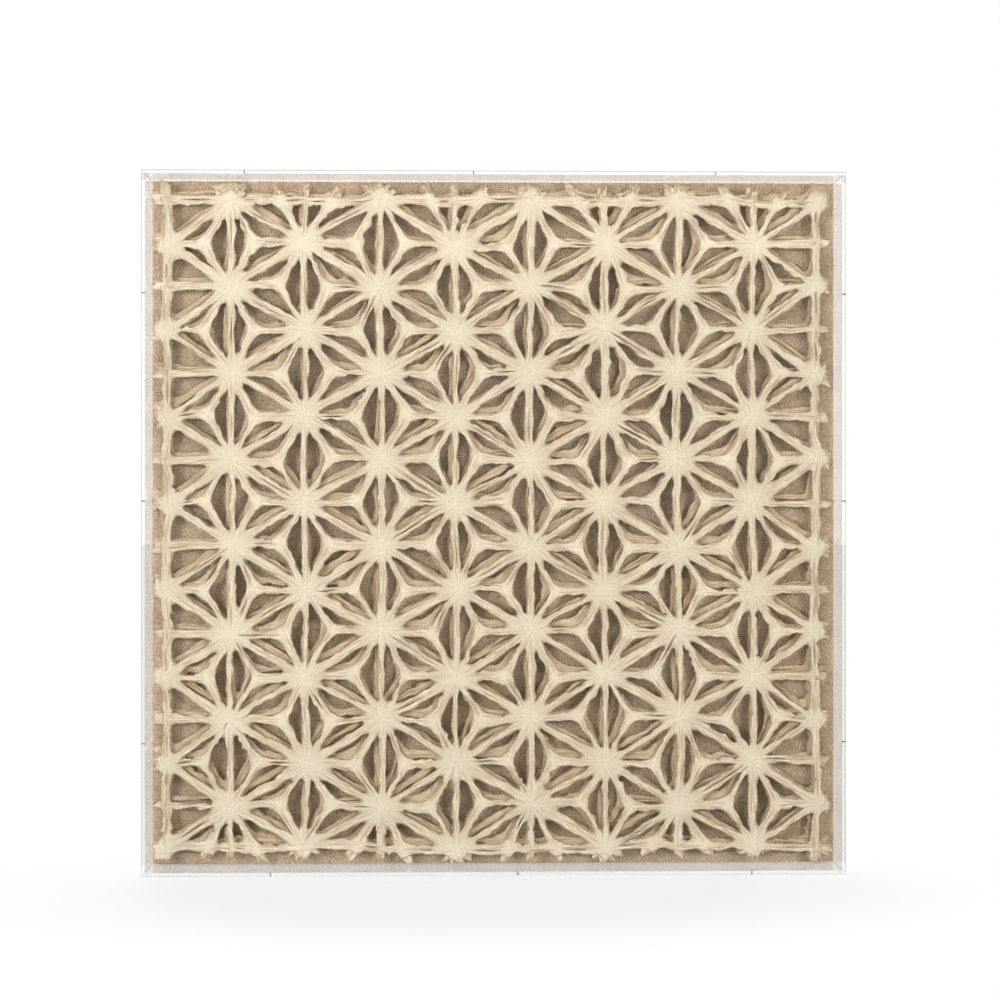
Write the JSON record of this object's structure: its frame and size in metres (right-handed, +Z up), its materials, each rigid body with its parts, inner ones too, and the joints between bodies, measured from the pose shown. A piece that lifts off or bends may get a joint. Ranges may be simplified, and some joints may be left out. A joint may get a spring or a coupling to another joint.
{
  "type": "framed paper art",
  "caption": "Square clear shadow box with a two-layer star lattice of bark paper strips over a linen-covered board, to hang on a wall or stand on its edge.",
  "frame": {"origin": "middle of the bottom face, on the surface that the box stands on", "axes": "+Z up, +X to the right seen from the front, +Y from the front pane to the back rails"},
  "size_m": [0.8, 0.07, 0.8],
  "materials": {
    "clear_acrylic": "clear, polished",
    "taupe_linen": "plain woven linen",
    "board": "bare fibre board",
    "pine": "planed, bare",
    "foam_pad": "closed-cell foam",
    "cream_paper": "beaten bark fibre",
    "tan_paper": "beaten bark fibre"
  },
  "bodies": {
    "root": {"front_pane": "clear_acrylic", "top_wall": "clear_acrylic", "bottom_wall": "clear_acrylic", "left_wall": "clear_acrylic", "right_wall": "clear_acrylic", "linen_cloth": "taupe_linen", "backing_board": "board", "top_rail": "pine", "bottom_rail": "pine", "left_rail": "pine", "right_rail": "pine", "front_spacers": "foam_pad", "rear_spacers": "foam_pad", "front_uprights": "cream_paper", "rear_uprights": "tan_paper", "front_bows": "cream_paper", "rear_bows": "tan_paper", "front_crossbars": "cream_paper", "rear_crossbars": "tan_paper", "front_border": "cream_paper", "rear_border": "tan_paper", "front_rising": "cream_paper", "rear_rising": "tan_paper", "front_falling": "cream_paper", "rear_falling": "tan_paper"}
  },
  "joints": []
}
